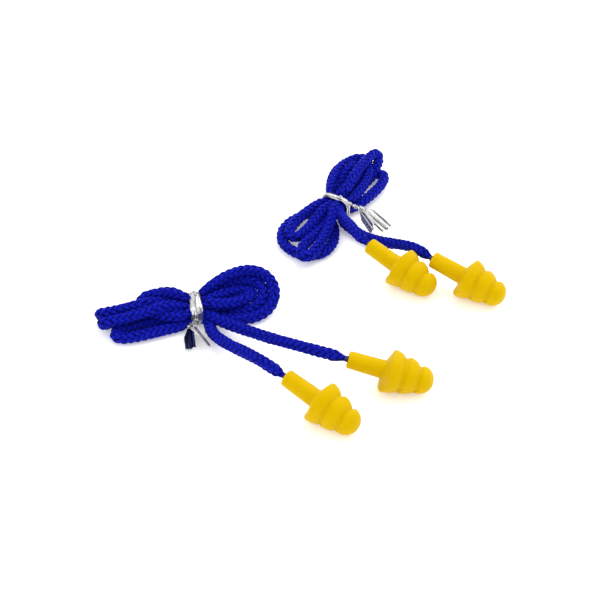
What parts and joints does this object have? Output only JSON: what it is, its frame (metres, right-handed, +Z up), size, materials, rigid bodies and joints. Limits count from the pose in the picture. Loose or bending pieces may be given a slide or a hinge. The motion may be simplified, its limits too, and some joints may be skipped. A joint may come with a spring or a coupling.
{
  "type": "corded ear plugs",
  "caption": "Reusable three-flange ear plugs in corded pairs, each braided cord folded into a hank and held by a film-covered wire twist tie.",
  "frame": {"origin": "on the surface the plugs lie on, at the centre of the footprint of the four plugs", "axes": "+Z up from the surface; +Y from the front pair towards the back pair; +X from the hanks towards the plugs of the front pair"},
  "size_m": [0.1214, 0.1248, 0.0124],
  "materials": {
    "plug_elastomer": "smooth matte moulded elastomer",
    "cord_braid": "round braided synthetic yarn with a slight sheen",
    "cord_end": "heat-fused yarn",
    "tie_film": "metallised film, creased",
    "tie_wire": "bare steel wire"
  },
  "bodies": {
    "front_hank": {"front_hank_left_lobe": "cord_braid", "front_hank_right_lobe": "cord_braid", "front_right_cord_lead": "cord_braid", "front_left_cord_lead": "cord_braid", "front_tie_band": "tie_film", "front_tie_band_core": "tie_wire", "front_tie_twist": "tie_film"},
    "front_right_neck": {"front_right_cord_end": "cord_end"},
    "front_right_plug": {"front_right_plug": "plug_elastomer"},
    "front_left_neck": {"front_left_cord_end": "cord_end"},
    "front_left_plug": {"front_left_plug": "plug_elastomer"},
    "front_tie_near_tail": {"front_tie_near_tail": "tie_film", "front_tie_near_tail_core": "tie_wire"},
    "front_tie_far_tail": {"front_tie_far_tail": "tie_film", "front_tie_far_tail_core": "tie_wire"},
    "back_hank": {"back_hank_left_lobe": "cord_braid", "back_hank_right_lobe": "cord_braid", "back_left_cord_lead": "cord_braid", "back_right_cord_lead": "cord_braid", "back_tie_band": "tie_film", "back_tie_band_core": "tie_wire", "back_tie_twist": "tie_film"},
    "back_left_neck": {"back_left_cord_end": "cord_end"},
    "back_left_plug": {"back_left_plug": "plug_elastomer"},
    "back_right_neck": {"back_right_cord_end": "cord_end"},
    "back_right_plug": {"back_right_plug": "plug_elastomer"},
    "back_tie_near_tail": {"back_tie_near_tail": "tie_film", "back_tie_near_tail_core": "tie_wire"},
    "back_tie_far_tail": {"back_tie_far_tail": "tie_film", "back_tie_far_tail_core": "tie_wire"}
  },
  "joints": [
    {"name": "pairs_apart", "type": "slide", "parent": "front_hank", "child": "back_hank", "axis": [0, 0, 1], "range_m": [0, 0.08]},
    {"name": "front_right_swing", "type": "hinge", "parent": "front_hank", "child": "front_right_neck", "pos_m": [-0.0147, -0.0139, 0.00878], "axis": [0, 0, 1], "range_deg": [-30, 40]},
    {"name": "front_right_swivel", "type": "hinge", "parent": "front_right_neck", "child": "front_right_plug", "pos_m": [-0.0147, -0.0139, 0.00878], "axis": [0.9614, -0.1799, -0.2081], "range_deg": [-180, 180]},
    {"name": "front_left_swing", "type": "hinge", "parent": "front_hank", "child": "front_left_neck", "pos_m": [-0.032, -0.0209, 0.00878], "axis": [0, 0, 1], "range_deg": [-40, 15]},
    {"name": "front_left_swivel", "type": "hinge", "parent": "front_left_neck", "child": "front_left_plug", "pos_m": [-0.032, -0.0209, 0.00878], "axis": [0.7863, -0.5818, -0.2081], "range_deg": [-180, 180]},
    {"name": "front_tie_near_tail_bend", "type": "hinge", "parent": "front_hank", "child": "front_tie_near_tail", "pos_m": [-0.06033, 0.00622, 0.00214], "axis": [-0.9903, -0.1392, 0], "range_deg": [0, 45]},
    {"name": "front_tie_far_tail_bend", "type": "hinge", "parent": "front_hank", "child": "front_tie_far_tail", "pos_m": [-0.06033, 0.00622, 0.00214], "axis": [-0.848, -0.5299, 0], "range_deg": [0, 45]},
    {"name": "back_left_swing", "type": "hinge", "parent": "back_hank", "child": "back_left_neck", "pos_m": [-0.0069, 0.0352, 0.00878], "axis": [0, 0, 1], "range_deg": [-40, 0]},
    {"name": "back_left_swivel", "type": "hinge", "parent": "back_left_neck", "child": "back_left_plug", "pos_m": [-0.0069, 0.0352, 0.00878], "axis": [0.7676, -0.6062, -0.2081], "range_deg": [-180, 180]},
    {"name": "back_right_swing", "type": "hinge", "parent": "back_hank", "child": "back_right_neck", "pos_m": [0.012, 0.0288, 0.00878], "axis": [0, 0, 1], "range_deg": [0, 25]},
    {"name": "back_right_swivel", "type": "hinge", "parent": "back_right_neck", "child": "back_right_plug", "pos_m": [0.012, 0.0288, 0.00878], "axis": [0.8436, -0.495, -0.2081], "range_deg": [-180, 180]},
    {"name": "back_tie_near_tail_bend", "type": "hinge", "parent": "back_hank", "child": "back_tie_near_tail", "pos_m": [-0.00848, 0.05777, 0.00481], "axis": [-0.788, -0.6157, 0], "range_deg": [0, 45]},
    {"name": "back_tie_far_tail_bend", "type": "hinge", "parent": "back_hank", "child": "back_tie_far_tail", "pos_m": [-0.00848, 0.05777, 0.00481], "axis": [-0.9135, -0.4067, 0], "range_deg": [0, 45]}
  ]
}
